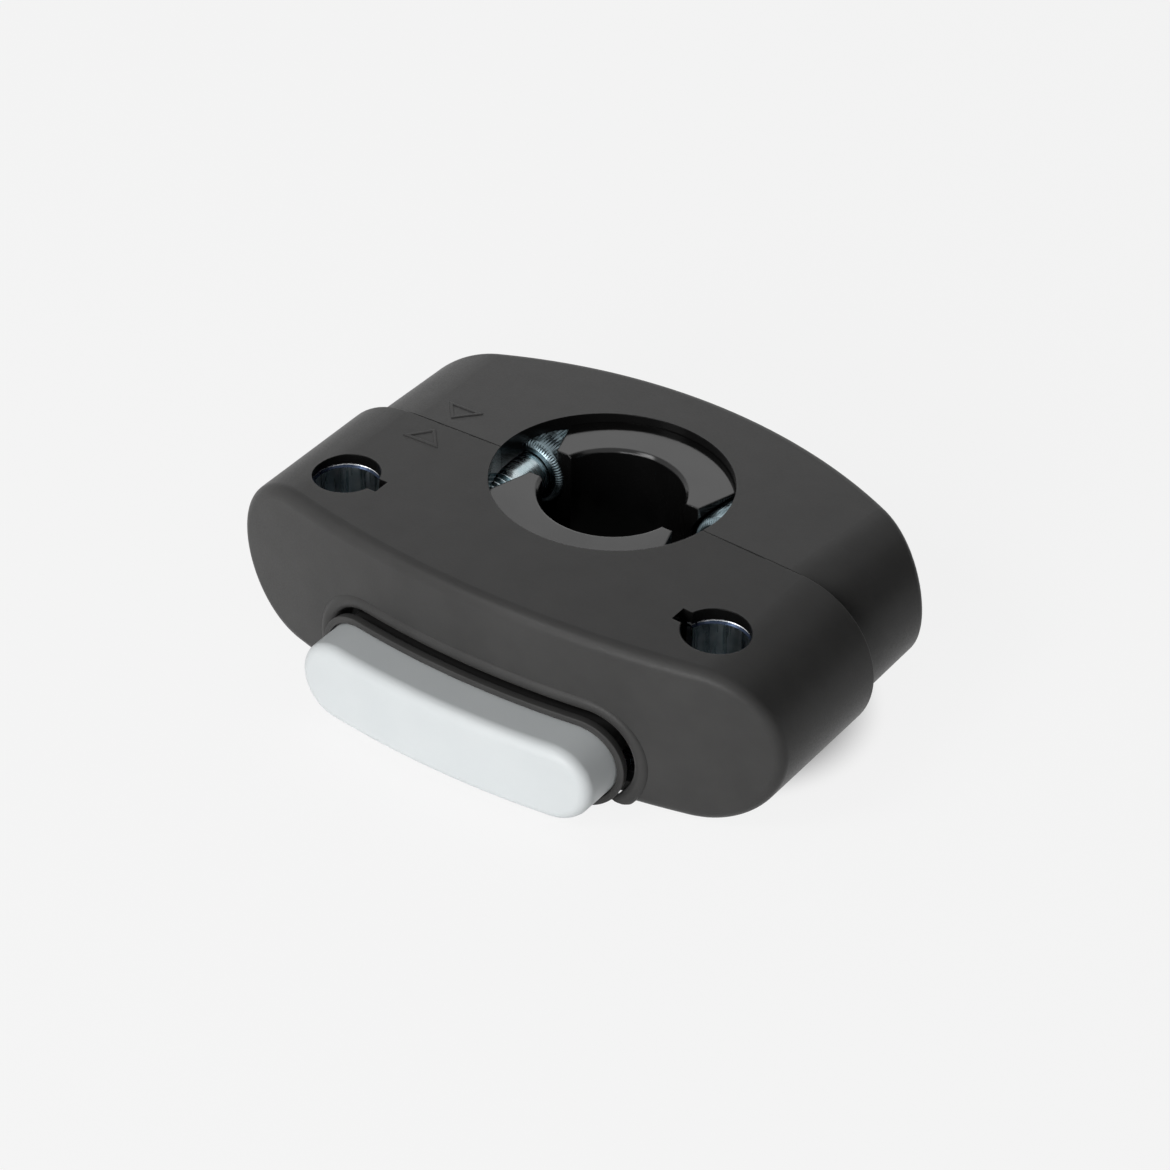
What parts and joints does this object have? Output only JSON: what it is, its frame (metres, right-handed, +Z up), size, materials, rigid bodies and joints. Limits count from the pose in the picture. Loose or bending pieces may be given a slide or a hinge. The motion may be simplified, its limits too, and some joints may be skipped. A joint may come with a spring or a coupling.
{
  "type": "bike basket adapter",
  "caption": "Two-jaw plastic stem clamp with reducing inserts, clamp bolts, upright sockets for a basket's prongs and a push button that releases them.",
  "frame": {"origin": "on the axis of the clamp bore, at half the height of the jaws", "axes": "+Z up along the bore, +X across the bike to the right of someone facing the button, -Y out of the button"},
  "size_m": [0.1054, 0.0793, 0.0309],
  "materials": {
    "housing_plastic": "fine matt texture",
    "button_plastic": "satin",
    "insert_plastic": "gloss",
    "plated_steel": "blue zinc plating",
    "spring_steel": "drawn wire"
  },
  "bodies": {
    "front_jaw": {"front_housing": "housing_plastic", "bottom_cover": "housing_plastic", "cover_screws": "plated_steel", "front_insert": "insert_plastic", "socket_sleeve_left": "plated_steel", "socket_sleeve_right": "plated_steel", "clamp_nut_left": "plated_steel", "clamp_nut_right": "plated_steel", "latch_spring_left": "spring_steel", "latch_spring_right": "spring_steel"},
    "release": {"button_cap": "button_plastic", "button_carrier": "housing_plastic", "latch_plate": "plated_steel", "latch_screws": "plated_steel"},
    "rear_jaw": {"rear_jaw": "housing_plastic", "rear_insert": "insert_plastic", "bolt_sleeve_left": "plated_steel", "bolt_sleeve_right": "plated_steel"},
    "bolt_left": {"clamp_bolt_left": "plated_steel"},
    "bolt_right": {"clamp_bolt_right": "plated_steel"}
  },
  "joints": [
    {"name": "button_press", "type": "slide", "parent": "front_jaw", "child": "release", "axis": [0, 1, 0], "range_m": [0, 0.003], "stiffness_N_per_m": 700, "springref_m": -0.006, "deforming": ["latch_spring_left", "latch_spring_right"]},
    {"name": "jaw_open", "type": "slide", "parent": "rear_jaw", "child": "front_jaw", "axis": [0, -1, 0], "range_m": [0, 0.005]},
    {"name": "bolt_left_turn", "type": "hinge", "parent": "rear_jaw", "child": "bolt_left", "pos_m": [-0.019, 0, 0.0059], "axis": [0, 1, 0], "range_deg": [0, 1440]},
    {"name": "bolt_right_turn", "type": "hinge", "parent": "rear_jaw", "child": "bolt_right", "pos_m": [0.019, 0, 0.0059], "axis": [0, 1, 0], "range_deg": [0, 1440]}
  ],
  "couplings": [
    {"joint": "bolt_left_turn", "follows": "jaw_open", "rad_per_m": 5026.5},
    {"joint": "bolt_right_turn", "follows": "jaw_open", "rad_per_m": 5026.5}
  ]
}
